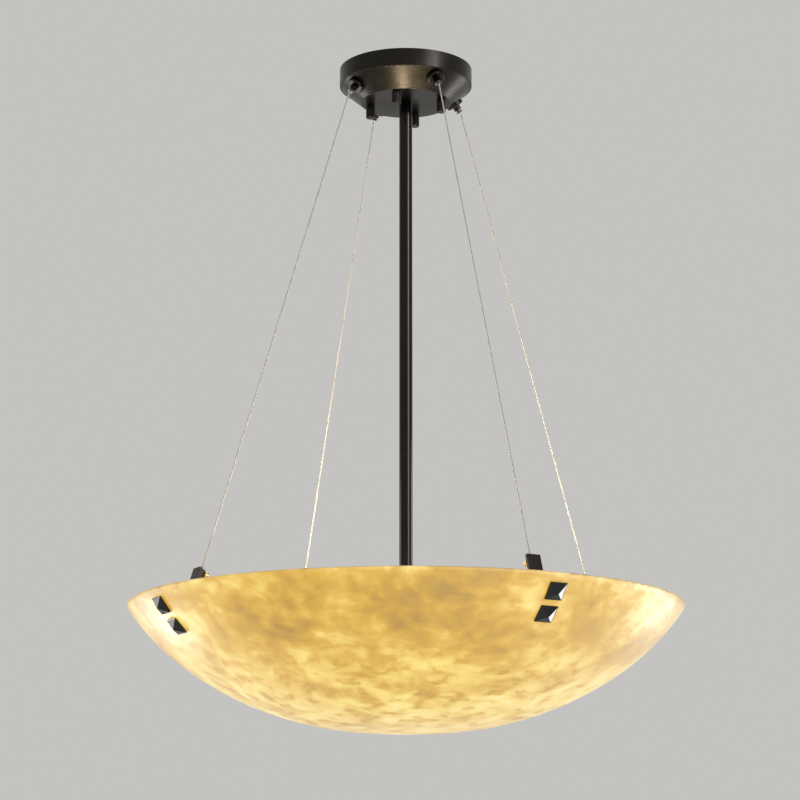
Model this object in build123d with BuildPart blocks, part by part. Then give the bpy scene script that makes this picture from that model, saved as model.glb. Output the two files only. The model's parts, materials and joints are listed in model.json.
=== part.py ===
"""Bowl pendant light: a ceiling canopy, a central stem with a lamp cluster, and a bowl on four cables.

Millimetres, +Z up. The origin is the centre of the ceiling plane that the canopy stands against.
The four cables hang at azimuths 0, 90, 180 and 270 degrees, the lamps and canopy nuts between them.
"""

import os
from math import acos, asin, atan, atan2, cos, degrees, hypot, pi, radians, sin, sqrt, tan

from build123d import *

# Overall sizes
bowl_radius = 305.0
bowl_depth = 138.0
rim_drop = 622.0  # ceiling to the top of the bowl's rim

# Bowl
bowl_wall = 6.0
bowl_arc_ratios = (2.076, 1.189, 0.8445)  # base, side and upper arc, against one another
base_lean = 6.8  # where the base arc meets the side arc, from straight down
side_lean = 36.6  # where the side arc meets the upper arc

# Canopy
canopy_radius = 76.0
ring_height = 20.2
canopy_height = 39.5
canopy_step = 1.6
canopy_face_radius = 51.4
canopy_wall = 1.6
canopy_edge_radius = 0.7
canopy_ring_floor = 1.9
ceiling_plate_radius = 68.0
ceiling_plate_thickness = 3.0
plate_wire_hole = 15.0
box_screw_spacing = 88.9
box_slot_length = 14.0
box_slot_width = 4.8
support_circle = 42.0
support_rod = 6.0
support_nut_flats = 10.0
support_nut_height = 5.0
cap_nut_diameter = 10.4
cap_nut_height = 14.5
cap_nut_grooves = 24
cap_nut_groove = 0.7
cap_nut_floor = 3.0
cap_nut_chamfer = 0.8
cap_nut_collar = 2.5  # left ungrooved below the canopy
ground_screw_place = 26.0
ground_screw_head = 7.6
ground_screw_shank = 3.9
ground_screw_head_height = 2.4
ground_screw_slot = 1.1

# Stem
stem_diameter = 15.0
stem_bore = 12.4
nipple_diameter = 9.6
nipple_bore = 7.0
coupling_length = 12.0
nipple_entry = 10.0
nipple_spare = 1.5
locknut_flats = 16.0
locknut_height = 4.0
lock_washer_radius = 9.5
lock_washer_height = 1.2
wire_diameter = 2.0
wire_circle = 1.9
wire_bend = 5.0
wire_azimuths = [90, 210, 330]
wire_level = 19.0  # below the ceiling, where the wires turn to their connectors
connector_start = 19.0
connector_length = 17.0
connector_radius = 4.4
connector_tip_radius = 2.4

# Cable grippers on the canopy's cone
gripper_radius_on_cone = 65.0
collar_diameter = 20.0
collar_height = 4.2
collar_sink = 1.0  # of the collar's underside into the cone, before it is cut to the cone's shape
collar_edge_radius = 1.8
barrel_diameter = 8.6
barrel_height = 9.0
gripper_thread = 7.0
gripper_thread_length = 9.0
gripper_nut_flats = 11.0
gripper_nut_height = 3.0
nut_stand_off = 0.35  # of a flat nut from the cone's curved inside
plunger_bore = 5.6
plunger_flange_bore = 6.6
plunger_flange = 1.1
plunger_lip = 1.8
plunger_head_diameter = 7.6
plunger_head = 1.8
plunger_travel = 2.0
plunger_margin = 0.3
plunger_edge_radius = 0.8

# Cables
cable_diameter = 1.6
cable_passage = 2.4
cable_bend = 6.0
cable_spare = 13.0  # cable left above each gripper
cable_tail = 22.0  # cable left below the middle of each stop
ferrule_diameter = 3.4
ferrule_length = 6.0

# Bowl brackets, their cable stops and the studs that hold them
bracket_width = 16.5
bracket_thickness = 3.5
bracket_bend = 4.5
bracket_above_stop = 4.6
bracket_below_stop = 20.1
bracket_past_stud = 8.0
bracket_run = 1.0  # straight length from the leg's arc to its bend at the rim
stop_inset = 53.9  # from the rim's edge in to the middle of a stop
stop_rise = 18.0  # of a stop's middle above the rim
stop_diameter = 8.0
stop_length = 9.0
stop_bore = 2.6
stop_flat = 2.65  # from the cable's line to the flat against the bracket
stop_screw_diameter = 3.0
stop_screw_head = 8.0
stop_screw_head_height = 4.0
stop_screw_grooves = 18
stop_screw_groove = 0.7
stud_from_rim = 16.2
stud_spacing = 27.3
stud_side = 20.0
stud_rim = 1.5
stud_peak = 5.2
stud_tip = 0.6
stud_ledge = 0.5  # around the foot of the pyramid
stud_shank = 5.0
stud_spare = 1.5
pad_radius = 6.0
outer_pad = 0.5
inner_pad = 1.5
stud_washer_radius = 5.0
stud_washer = 1.0
stud_nut_flats = 8.0
stud_nut_height = 4.0

# Lamp cluster
stem_below_rim = 12.0
hub_radius = 33.0
hub_height = 32.0
hub_wall = 1.6
hub_lid = 1.6
hub_lid_overhang = 2.0
hub_edge_radius = 4.0
lamp_level = 17.0  # of the lamps' axes below the hub's top
arm_length = 14.0
arm_inside = 5.0
holder_radius = 17.5
holder_length = 48.0
holder_wall = 3.9
holder_shoulder = 4.0
holder_floor = 6.0
lamp_base_radius = 13.0
lamp_base_length = 26.0
lamp_tip_radius = 4.5
lamp_tip_length = 3.0
lamp_tip_gap = 0.4
lamp_glass_radius = 30.0
lamp_glass_length = 82.0
lamp_glass_wall = 1.0
lamp_neck_radius = 12.4
lamp_neck_turn = 130.0  # degrees of the globe's arc from its tip to the neck
lamp_base_shoulder = 3.5
lamp_base_chamfer = 2.5
finial_diameter = 16.0
finial_height = 13.0
finial_dome = 6.0
wire_window_width = 5.0
wire_window_height = 14.0

# Clearances
thread_gap = 0.02
free_gap = 0.3
bolt_gap = 0.3
seat_gap = 0.1
cone_gap = 0.03
pivot_gap = 0.15  # from a cable's bent end to its straight length

# Places that follow from the sizes above
rim_z = -rim_drop
azimuths = [0, 90, 180, 270]
between = [45, 135, 225, 315]
half_wall = bowl_wall / 2


def bowl_arcs():
    """Centres and radii of the three tangent arcs of the wall's middle, and the lean of its rim end."""
    k1, k2, k3 = bowl_arc_ratios
    t1, t2 = radians(base_lean), radians(side_lean)
    out = (k1 - k2) * sin(t1) + (k2 - k3) * sin(t2)
    up = k1 - (k1 - k2) * cos(t1) - (k2 - k3) * cos(t2)
    slope = (bowl_depth - bowl_wall) / (bowl_radius - half_wall)
    rim = atan(slope) + acos((up - slope * out) / (k3 * sqrt(1 + slope**2)))
    size = (bowl_radius - half_wall) / (out + k3 * sin(rim))
    m1, m2, m3 = k1 * size, k2 * size, k3 * size
    c1 = (0, rim_z - bowl_depth + half_wall + m1)
    c2 = (c1[0] + (m1 - m2) * sin(t1), c1[1] - (m1 - m2) * cos(t1))
    c3 = (c2[0] + (m2 - m3) * sin(t2), c2[1] - (m2 - m3) * cos(t2))
    return [(c1, m1), (c2, m2), (c3, m3)], degrees(rim)


arcs, rim_lean = bowl_arcs()
arc_leans = [0, base_lean, side_lean, rim_lean]


def along(point, lean, distance):
    """A point moved by a distance outward and down, at a lean from straight down."""
    return (point[0] + distance * sin(radians(lean)), point[1] - distance * cos(radians(lean)))


def across(point, lean, distance):
    """A point moved square to a lean, outward and up."""
    return (point[0] + distance * cos(radians(lean)), point[1] + distance * sin(radians(lean)))


def bowl_point(lean, offset):
    """The point of the bowl's side at a lean, at an offset outward from the wall's middle."""
    index = 1 if lean < side_lean else 2
    centre, radius = arcs[index]
    return along(centre, lean, radius + offset)


def radial_plane(azimuth):
    """An upright plane through the centre line: its x is outward and its y is up."""
    a = radians(azimuth)
    return Plane(origin=(0, 0, 0), x_dir=(cos(a), sin(a), 0), z_dir=(sin(a), -cos(a), 0))


def seat(azimuth, point, lean):
    """A plane at a point (radius, height) that faces outward and down, at a lean from straight down."""
    a, t = radians(azimuth), radians(lean)
    return Plane(
        origin=(point[0] * cos(a), point[0] * sin(a), point[1]),
        x_dir=(cos(t) * cos(a), cos(t) * sin(a), sin(t)),
        z_dir=(sin(t) * cos(a), sin(t) * sin(a), -cos(t)),
    )


def radial_axis(azimuth, height):
    """The level line outward from the centre line at a height."""
    a = radians(azimuth)
    return Axis((0, 0, height), (cos(a), sin(a), 0))


os.makedirs("parts", exist_ok=True)


def save(block, label):
    """Labels a finished piece and writes it."""
    block.part.label = label
    export_step(block.part, f"parts/{label}.step")


# The canopy's cone and the line of a cable, in the upright plane of radius and height
cone_top = (canopy_radius - canopy_step, -ring_height)
cone_foot = (canopy_face_radius, -canopy_height)
cone_lean = degrees(atan2(cone_top[1] - cone_foot[1], cone_top[0] - cone_foot[0]))
gripper_seat = (
    gripper_radius_on_cone,
    cone_top[1] - (cone_top[0] - gripper_radius_on_cone) * tan(radians(cone_lean)),
)
nose_reach = barrel_height + plunger_travel + seat_gap + plunger_head
cable_nose = along(gripper_seat, cone_lean, nose_reach + free_gap)
bend_centre = across(cable_nose, cone_lean, -cable_bend)
stop_middle = (bowl_radius - stop_inset, rim_z + stop_rise)
reach = hypot(stop_middle[0] - bend_centre[0], stop_middle[1] - bend_centre[1])
reach_lean = degrees(atan2(stop_middle[0] - bend_centre[0], bend_centre[1] - stop_middle[1]))
cable_lean = reach_lean - degrees(asin(cable_bend / reach))
cable_pivot = across(bend_centre, cable_lean, cable_bend)
cable_run = sqrt(reach**2 - cable_bend**2)

# The bracket's line and the studs' leans
upper_radius = arcs[2][1]
stud_leans = [
    rim_lean - degrees(stud_from_rim / upper_radius),
    rim_lean - degrees((stud_from_rim + stud_spacing) / upper_radius),
]
bracket_offset = -(half_wall + inner_pad + bracket_thickness / 2)
leg_past = degrees(bracket_past_stud / upper_radius)
leg_top_lean = stud_leans[0] + leg_past / 2
leg_low_lean = stud_leans[1] - leg_past
bracket_corner = bracket_bend * tan(radians(180 - leg_top_lean) / 2) + bracket_run


# Ceiling plate, a disc with two slots for the outlet box screws
with BuildPart() as ceiling_plate:
    with BuildSketch(Plane.XY.offset(-ceiling_plate_thickness)):
        Circle(ceiling_plate_radius)
        Circle(plate_wire_hole, mode=Mode.SUBTRACT)
        with GridLocations(box_screw_spacing, 0, 2, 1):
            SlotOverall(box_slot_length, box_slot_width, mode=Mode.SUBTRACT)
        with PolarLocations(support_circle, len(between), between[0]):
            Circle(support_rod / 2 + thread_gap, mode=Mode.SUBTRACT)
        with Locations((0, ground_screw_place)):
            Circle(ground_screw_shank / 2 + thread_gap, mode=Mode.SUBTRACT)
    extrude(amount=ceiling_plate_thickness)
save(ceiling_plate, "ceiling_plate")

with BuildPart() as ground_screw:
    with BuildSketch(Plane.XY.offset(-ceiling_plate_thickness - ground_screw_head_height)):
        with Locations((0, ground_screw_place)):
            Circle(ground_screw_head / 2)
    extrude(amount=ground_screw_head_height)
    with BuildSketch(Plane.XY.offset(-ceiling_plate_thickness)):
        with Locations((0, ground_screw_place)):
            Circle(ground_screw_shank / 2)
    extrude(amount=ceiling_plate_thickness - seat_gap)
    with BuildSketch(Plane.XY.offset(-ceiling_plate_thickness - ground_screw_head_height)):
        with Locations((0, ground_screw_place)):
            Rectangle(ground_screw_head * 2, ground_screw_slot)
    extrude(amount=ground_screw_slot, mode=Mode.SUBTRACT)
save(ground_screw, "ground_screw")

# Four threaded rods carry the canopy from the plate, each with a nut under the plate
rod_end = -canopy_height - cap_nut_height + cap_nut_floor + seat_gap
with BuildPart() as support_rods:
    with BuildSketch(Plane.XY.offset(rod_end)):
        with PolarLocations(support_circle, len(between), between[0]):
            Circle(support_rod / 2)
    extrude(amount=-rod_end - seat_gap)
save(support_rods, "support_rods")

with BuildPart() as support_nuts:
    with BuildSketch(Plane.XY.offset(-ceiling_plate_thickness - support_nut_height)):
        with PolarLocations(support_circle, len(between), between[0]):
            RegularPolygon(support_nut_flats / 2, 6, major_radius=False)
        with PolarLocations(support_circle, len(between), between[0]):
            Circle(support_rod / 2 + thread_gap, mode=Mode.SUBTRACT)
    extrude(amount=support_nut_height)
save(support_nuts, "support_nuts")

# Grooved cap nuts below the canopy's face, closed at the foot
with BuildPart() as canopy_cap_nuts:
    with BuildSketch(Plane.XY.offset(-canopy_height - cap_nut_height)):
        with PolarLocations(support_circle, len(between), between[0]):
            Circle(cap_nut_diameter / 2)
    extrude(amount=cap_nut_height)
    chamfer(canopy_cap_nuts.faces().sort_by(Axis.Z)[: len(between)].edges(), length=cap_nut_chamfer)
    with BuildSketch(Plane.XY.offset(-canopy_height - cap_nut_height)):
        for place in PolarLocations(support_circle, len(between), between[0]):
            with Locations(place):
                with PolarLocations(cap_nut_diameter / 2 + cap_nut_groove / 4, cap_nut_grooves):
                    Circle(cap_nut_groove / 2)
    extrude(amount=cap_nut_height - cap_nut_collar, mode=Mode.SUBTRACT)
    with BuildSketch(Plane.XY.offset(-canopy_height)):
        with PolarLocations(support_circle, len(between), between[0]):
            Circle(support_rod / 2 + thread_gap)
    extrude(amount=-(cap_nut_height - cap_nut_floor), mode=Mode.SUBTRACT)
save(canopy_cap_nuts, "canopy_cap_nuts")

# Canopy shell: an upright ring, a cone stepped in under it and a flat face, open at the ceiling
bore_lean = cone_lean / 2
with BuildPart() as canopy:
    with BuildSketch(Plane.XZ) as canopy_outline:
        with BuildLine():
            Polyline(
                (0, 0),
                (canopy_radius, 0),
                (canopy_radius, -ring_height),
                cone_top,
                cone_foot,
                (0, -canopy_height),
                close=True,
            )
        make_face()
        fillet(
            canopy_outline.vertices().group_by(Axis.X)[-1].sort_by(Axis.Y)[0], canopy_edge_radius
        )
        fillet(
            canopy_outline.vertices().group_by(Axis.Y)[0].sort_by(Axis.X)[-1], canopy_edge_radius
        )
    revolve()
    with BuildSketch(Plane.XZ):
        with BuildLine():
            Polyline(
                (0, 0),
                (canopy_radius - canopy_wall, 0),
                (canopy_radius - canopy_wall, -ring_height + canopy_ring_floor),
                (
                    canopy_face_radius - canopy_wall * tan(radians(bore_lean)),
                    -canopy_height + canopy_wall,
                ),
                (0, -canopy_height + canopy_wall),
                close=True,
            )
        make_face()
    revolve(mode=Mode.SUBTRACT)
    with BuildSketch(Plane.XY.offset(-canopy_height)):
        Circle(nipple_diameter / 2 + bolt_gap)
        with PolarLocations(support_circle, len(between), between[0]):
            Circle(support_rod / 2 + bolt_gap)
    extrude(amount=canopy_wall * 2, mode=Mode.SUBTRACT)
    for azimuth in azimuths:
        with BuildSketch(seat(azimuth, gripper_seat, cone_lean)):
            Circle(gripper_thread / 2 + seat_gap)
        extrude(amount=canopy_wall * 2, both=True, mode=Mode.SUBTRACT)
save(canopy, "canopy")

# Stem tube, with a threaded coupling pressed in each end
stem_top = -canopy_height
stem_foot = rim_z - stem_below_rim
with BuildPart() as stem:
    with BuildSketch(Plane.XY.offset(stem_foot)):
        Circle(stem_diameter / 2)
        Circle(stem_bore / 2, mode=Mode.SUBTRACT)
    extrude(amount=stem_top - stem_foot)
save(stem, "stem")

with BuildPart() as stem_couplings:
    for level in (stem_foot, stem_top - coupling_length):
        with BuildSketch(Plane.XY.offset(level)):
            Circle(stem_bore / 2 - thread_gap)
            Circle(nipple_diameter / 2 + thread_gap, mode=Mode.SUBTRACT)
        extrude(amount=coupling_length)
save(stem_couplings, "stem_couplings")

face_inside = -canopy_height + canopy_wall
locknut_low = face_inside + lock_washer_height
nipple_top = locknut_low + locknut_height + nipple_spare
with BuildPart() as top_nipple:
    with BuildSketch(Plane.XY.offset(stem_top - nipple_entry)):
        Circle(nipple_diameter / 2)
        Circle(nipple_bore / 2, mode=Mode.SUBTRACT)
    extrude(amount=nipple_top - stem_top + nipple_entry)
save(top_nipple, "top_nipple")

with BuildPart() as stem_lock_washer:
    with BuildSketch(Plane.XY.offset(face_inside)):
        Circle(lock_washer_radius)
        Circle(nipple_diameter / 2 + bolt_gap, mode=Mode.SUBTRACT)
    extrude(amount=lock_washer_height)
save(stem_lock_washer, "stem_lock_washer")

with BuildPart() as stem_locknut:
    with BuildSketch(Plane.XY.offset(locknut_low)):
        RegularPolygon(locknut_flats / 2, 6, major_radius=False)
        Circle(nipple_diameter / 2 + thread_gap, mode=Mode.SUBTRACT)
    extrude(amount=locknut_height)
save(stem_locknut, "stem_locknut")

# Lamp cluster: a lidded hub clamped to the stem's foot by a nipple and a finial
hub_top = stem_foot - hub_lid
hub_foot = hub_top - hub_height
lamp_z = hub_top - lamp_level
nipple_foot = hub_foot - finial_height + finial_dome
with BuildPart() as cluster_lid:
    with BuildSketch(Plane.XY.offset(hub_top)):
        Circle(hub_radius + hub_lid_overhang)
        Circle(nipple_diameter / 2 + seat_gap, mode=Mode.SUBTRACT)
    extrude(amount=hub_lid)
save(cluster_lid, "cluster_lid")

with BuildPart() as cluster_hub:
    with BuildSketch(Plane.XY.offset(hub_foot)):
        Circle(hub_radius)
    extrude(amount=hub_height)
    fillet(cluster_hub.faces().sort_by(Axis.Z)[0].edges(), radius=hub_edge_radius)
    offset(amount=-hub_wall, openings=cluster_hub.faces().sort_by(Axis.Z)[-1])
    with BuildSketch(Plane.XY.offset(hub_foot)):
        Circle(nipple_diameter / 2 + seat_gap)
    extrude(amount=hub_wall * 2, mode=Mode.SUBTRACT)
    for azimuth in between:
        with BuildSketch(seat(azimuth, (hub_radius, lamp_z), 90)):
            Circle(nipple_diameter / 2 + seat_gap)
        extrude(amount=hub_wall * 2, both=True, mode=Mode.SUBTRACT)
save(cluster_hub, "cluster_hub")

with BuildPart() as cluster_nipple:
    with BuildSketch(Plane.XY.offset(nipple_foot)):
        Circle(nipple_diameter / 2)
        Circle(nipple_bore / 2, mode=Mode.SUBTRACT)
    extrude(amount=stem_foot + nipple_entry - nipple_foot)
    with BuildSketch(Plane.XZ):
        with Locations((0, lamp_z)):
            Rectangle(wire_window_width, wire_window_height)
    extrude(amount=nipple_diameter, both=True, mode=Mode.SUBTRACT)
save(cluster_nipple, "cluster_nipple")

with BuildPart() as cluster_finial:
    with BuildSketch(Plane.XY.offset(hub_foot - finial_height)):
        Circle(finial_diameter / 2)
    extrude(amount=finial_height)
    fillet(cluster_finial.faces().sort_by(Axis.Z)[0].edges(), radius=finial_dome)
    with BuildSketch(Plane.XY.offset(hub_foot)):
        Circle(nipple_diameter / 2 + thread_gap)
    extrude(amount=nipple_foot - hub_foot - seat_gap, mode=Mode.SUBTRACT)
save(cluster_finial, "cluster_finial")

# Three insulated wires rise through the stem and turn outward to their connectors in the canopy
with BuildPart() as stem_wires:
    for azimuth in wire_azimuths:
        plane = radial_plane(azimuth)
        with BuildLine(plane) as wire_line:
            FilletPolyline(
                (wire_circle, lamp_z),
                (wire_circle, -wire_level),
                (connector_start + connector_length / 2, -wire_level),
                radius=wire_bend,
            )
        with BuildSketch(Plane.XY.offset(lamp_z)):
            with PolarLocations(wire_circle, 1, azimuth):
                Circle(wire_diameter / 2)
        sweep(path=wire_line.line)
save(stem_wires, "stem_wires")

with BuildPart() as wire_connectors:
    for azimuth in wire_azimuths:
        with BuildSketch(radial_plane(azimuth)):
            with BuildLine():
                Polyline(
                    (connector_start, -wire_level + wire_diameter / 2 + seat_gap),
                    (connector_start, -wire_level + connector_radius),
                    (connector_start + connector_length, -wire_level + connector_tip_radius),
                    (connector_start + connector_length, -wire_level),
                    (connector_start + connector_length / 2 + seat_gap, -wire_level),
                    (
                        connector_start + connector_length / 2 + seat_gap,
                        -wire_level + wire_diameter / 2 + seat_gap,
                    ),
                    close=True,
                )
            make_face()
        revolve(axis=radial_axis(azimuth, -wire_level))
save(wire_connectors, "wire_connectors")

# Lamps: each has an arm, a holder, a screw base and a glass, on a level line between two cables
holder_start = hub_radius + arm_length - arm_inside
base_start = holder_start + holder_floor + lamp_tip_gap + lamp_tip_length
base_end = base_start + lamp_base_length
glass_tip = base_end + lamp_glass_length
glass_centre = glass_tip - lamp_glass_radius
with BuildPart() as lamp_arms:
    for azimuth in between:
        with BuildSketch(seat(azimuth, (hub_radius - arm_inside, lamp_z), 90)):
            Circle(nipple_diameter / 2)
            Circle(nipple_bore / 2, mode=Mode.SUBTRACT)
        extrude(amount=arm_length)
save(lamp_arms, "lamp_arms")

for number, azimuth in enumerate(between, start=1):
    with BuildPart() as lamp_holder:
        with BuildSketch(radial_plane(azimuth)):
            with BuildLine():
                Polyline(
                    (holder_start - holder_shoulder, lamp_z + nipple_diameter / 2 + thread_gap),
                    (holder_start - holder_shoulder, lamp_z + holder_radius - holder_shoulder),
                    (holder_start, lamp_z + holder_radius),
                    (holder_start + holder_length, lamp_z + holder_radius),
                    (holder_start + holder_length, lamp_z + holder_radius - holder_wall),
                    (holder_start + holder_floor, lamp_z + holder_radius - holder_wall),
                    (holder_start + holder_floor, lamp_z),
                    (holder_start + seat_gap, lamp_z),
                    (holder_start + seat_gap, lamp_z + nipple_diameter / 2 + thread_gap),
                    close=True,
                )
            make_face()
        revolve(axis=radial_axis(azimuth, lamp_z))
    save(lamp_holder, f"lamp_holder_{number}")

    neck_lean = radians(lamp_neck_turn)
    with BuildPart() as lamp_glass:
        with BuildSketch(radial_plane(azimuth)) as glass_outline:
            with BuildLine():
                for radius, neck in (
                    (lamp_glass_radius, lamp_neck_radius),
                    (lamp_glass_radius - lamp_glass_wall, lamp_neck_radius - lamp_glass_wall),
                ):
                    CenterArc((glass_centre, lamp_z), radius, 0, lamp_neck_turn)
                    side = (glass_centre + radius * cos(neck_lean), lamp_z + radius * sin(neck_lean))
                    drop = side[1] - lamp_z - neck
                    corner = (side[0] - drop / tan(neck_lean - pi / 2), lamp_z + neck)
                    Polyline(side, corner, (base_end, lamp_z + neck))
                Line(
                    (base_end, lamp_z + lamp_neck_radius),
                    (base_end, lamp_z + lamp_neck_radius - lamp_glass_wall),
                )
                Line((glass_tip, lamp_z), (glass_tip - lamp_glass_wall, lamp_z))
            make_face()
        revolve(axis=radial_axis(azimuth, lamp_z))
    save(lamp_glass, f"lamp_glass_{number}")

with BuildPart() as lamp_bases:
    for azimuth in between:
        with BuildSketch(radial_plane(azimuth)):
            with BuildLine():
                Polyline(
                    (base_start - lamp_tip_length, lamp_z),
                    (base_start - lamp_tip_length, lamp_z + lamp_tip_radius),
                    (base_start, lamp_z + lamp_base_radius - lamp_base_shoulder),
                    (base_start + lamp_base_chamfer, lamp_z + lamp_base_radius),
                    (base_end - seat_gap, lamp_z + lamp_base_radius),
                    (base_end - seat_gap, lamp_z + lamp_base_radius - lamp_glass_wall),
                    (base_start + lamp_base_shoulder, lamp_z + lamp_base_radius - lamp_glass_wall),
                    (base_start + lamp_base_shoulder, lamp_z),
                    close=True,
                )
            make_face()
        revolve(axis=radial_axis(azimuth, lamp_z))
save(lamp_bases, "lamp_bases")

# Cable grippers: a collar and barrel on the cone, a hex nut inside, and a plunger in the nose
nut_depth = canopy_wall + nut_stand_off
with BuildPart() as gripper_nuts:
    for azimuth in azimuths:
        with BuildSketch(seat(azimuth, gripper_seat, cone_lean).offset(-nut_depth)):
            RegularPolygon(gripper_nut_flats / 2, 6, major_radius=False)
            Circle(gripper_thread / 2 + thread_gap, mode=Mode.SUBTRACT)
        extrude(amount=-gripper_nut_height)
save(gripper_nuts, "gripper_nuts")

plunger_in = barrel_height - plunger_lip
flange_top = plunger_in - seat_gap / 2
pocket_foot = flange_top - plunger_flange - plunger_travel - plunger_margin
for number, azimuth in enumerate(azimuths, start=1):
    place = seat(azimuth, gripper_seat, cone_lean)
    with BuildPart() as gripper_body:
        with BuildSketch(place.offset(-collar_sink)):
            Circle(collar_diameter / 2)
        extrude(amount=collar_height + collar_sink)
        collar_end = gripper_body.faces().sort_by(Axis(place.origin, place.z_dir))[-1]
        fillet(collar_end.edges(), radius=collar_edge_radius)
        with BuildSketch(Plane.XZ):
            with BuildLine():
                Polyline(
                    (0, 0),
                    (canopy_radius, 0),
                    (canopy_radius, -ring_height),
                    along(cone_top, cone_lean, cone_gap),
                    along(cone_foot, cone_lean, cone_gap),
                    (0, -canopy_height),
                    close=True,
                )
            make_face()
        revolve(mode=Mode.SUBTRACT)
        with BuildSketch(place):
            Circle(barrel_diameter / 2)
        extrude(amount=barrel_height)
        with BuildSketch(place.offset(seat_gap)):
            Circle(gripper_thread / 2)
        extrude(amount=-gripper_thread_length - seat_gap)
        with BuildSketch(place.offset(barrel_height)):
            Circle(plunger_bore / 2)
        extrude(amount=-plunger_lip, mode=Mode.SUBTRACT)
        with BuildSketch(place.offset(plunger_in)):
            Circle(plunger_flange_bore / 2)
        extrude(amount=pocket_foot - plunger_in, mode=Mode.SUBTRACT)
        with BuildSketch(place.offset(pocket_foot)):
            Circle(cable_passage / 2)
        extrude(amount=-gripper_thread_length - pocket_foot, mode=Mode.SUBTRACT)
    save(gripper_body, f"gripper_body_{number}")

    with BuildPart() as gripper_plunger:
        with BuildSketch(place.offset(flange_top - plunger_flange)):
            Circle(plunger_flange_bore / 2 - seat_gap)
        extrude(amount=plunger_flange)
        with BuildSketch(place.offset(flange_top)):
            Circle(plunger_bore / 2 - seat_gap)
        extrude(amount=nose_reach - plunger_head - flange_top)
        with BuildSketch(place.offset(nose_reach - plunger_head)):
            Circle(plunger_head_diameter / 2)
        extrude(amount=plunger_head)
        head_end = gripper_plunger.faces().sort_by(Axis(place.origin, place.z_dir))[-1]
        fillet(head_end.edges(), radius=plunger_edge_radius)
        with BuildSketch(place.offset(nose_reach)):
            Circle(cable_passage / 2)
        extrude(amount=-nose_reach, mode=Mode.SUBTRACT)
    save(gripper_plunger, f"gripper_plunger_{number}")

# The cable inside each gripper, bent at its nose towards the bowl
with BuildPart() as cable_ends:
    for azimuth in azimuths:
        start = along(cable_nose, cone_lean, -nose_reach - cable_spare)
        with BuildLine(radial_plane(azimuth)) as end_line:
            Line(start, cable_nose)
            CenterArc(bend_centre, cable_bend, cone_lean, cable_lean - cone_lean)
        with BuildSketch(seat(azimuth, start, cone_lean)):
            Circle(cable_diameter / 2)
        sweep(path=end_line.line)
save(cable_ends, "cable_ends")

# Four straight cables, each with a crimped ferrule below its stop
for number, azimuth in enumerate(azimuths, start=1):
    line = seat(azimuth, cable_pivot, cable_lean)
    with BuildPart() as cable:
        with BuildSketch(line.offset(pivot_gap)):
            Circle(cable_diameter / 2)
        extrude(amount=cable_run + cable_tail - pivot_gap)
    save(cable, f"cable_{number}")

    with BuildPart() as ferrule:
        with BuildSketch(line.offset(cable_run + cable_tail - ferrule_length)):
            Circle(ferrule_diameter / 2)
            Circle(cable_diameter / 2 + thread_gap, mode=Mode.SUBTRACT)
        extrude(amount=ferrule_length - seat_gap)
    save(ferrule, f"cable_ferrule_{number}")

# Bowl, one wall of three tangent arcs with a round rim, drilled for the studs
with BuildPart() as bowl:
    with BuildSketch(Plane.XZ):
        with BuildLine():
            for offset_sign in (1, -1):
                for (centre, radius), low, high in zip(arcs, arc_leans, arc_leans[1:]):
                    CenterArc(centre, radius + offset_sign * half_wall, low - 90, high - low)
            CenterArc(bowl_point(rim_lean, 0), half_wall, rim_lean - 90, 180)
            Line((0, rim_z - bowl_depth), (0, rim_z - bowl_depth + bowl_wall))
        make_face()
    revolve()
    for azimuth in azimuths:
        for lean in stud_leans:
            with BuildSketch(seat(azimuth, bowl_point(lean, 0), lean)):
                Circle(stud_shank / 2 + bolt_gap)
            extrude(amount=bowl_wall, both=True, mode=Mode.SUBTRACT)
save(bowl, "bowl")

# Bent flat brackets: down beside the cable, out at the rim, then down the inside of the wall
arm_line = across(stop_middle, cable_lean, stop_flat + bracket_thickness / 2)
leg_top = bowl_point(leg_top_lean, bracket_offset)
for number, azimuth in enumerate(azimuths, start=1):
    with BuildPart() as bracket:
        with BuildSketch(radial_plane(azimuth)):
            with BuildLine() as bracket_line:
                FilletPolyline(
                    along(arm_line, cable_lean, -bracket_above_stop),
                    along(arm_line, cable_lean, bracket_below_stop),
                    across(leg_top, leg_top_lean, bracket_corner),
                    leg_top,
                    radius=bracket_bend,
                )
                CenterArc(
                    arcs[2][0],
                    upper_radius + bracket_offset,
                    leg_top_lean - 90,
                    leg_low_lean - leg_top_lean,
                )
            trace(bracket_line.line, line_width=bracket_thickness)
        extrude(amount=bracket_width / 2, both=True)
        for lean in stud_leans:
            with BuildSketch(seat(azimuth, bowl_point(lean, bracket_offset), lean)):
                Circle(stud_shank / 2 + bolt_gap)
            extrude(amount=bracket_thickness, both=True, mode=Mode.SUBTRACT)
    save(bracket, f"bracket_{number}")

# Cable stops: a barrel with one flat side on each bracket, and its grooved lock screw
with BuildPart() as cable_stops:
    for azimuth in azimuths:
        with BuildSketch(seat(azimuth, along(stop_middle, cable_lean, -stop_length / 2), cable_lean)):
            Circle(stop_diameter / 2)
            Circle(stop_bore / 2, mode=Mode.SUBTRACT)
            with Locations((stop_flat + stop_diameter / 2, 0)):
                Rectangle(stop_diameter, stop_diameter * 2, mode=Mode.SUBTRACT)
        extrude(amount=stop_length)
        with BuildSketch(seat(azimuth, stop_middle, cable_lean + 90)):
            Circle(stop_screw_diameter / 2 + thread_gap)
        extrude(amount=-stop_diameter, mode=Mode.SUBTRACT)
save(cable_stops, "cable_stops")

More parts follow.
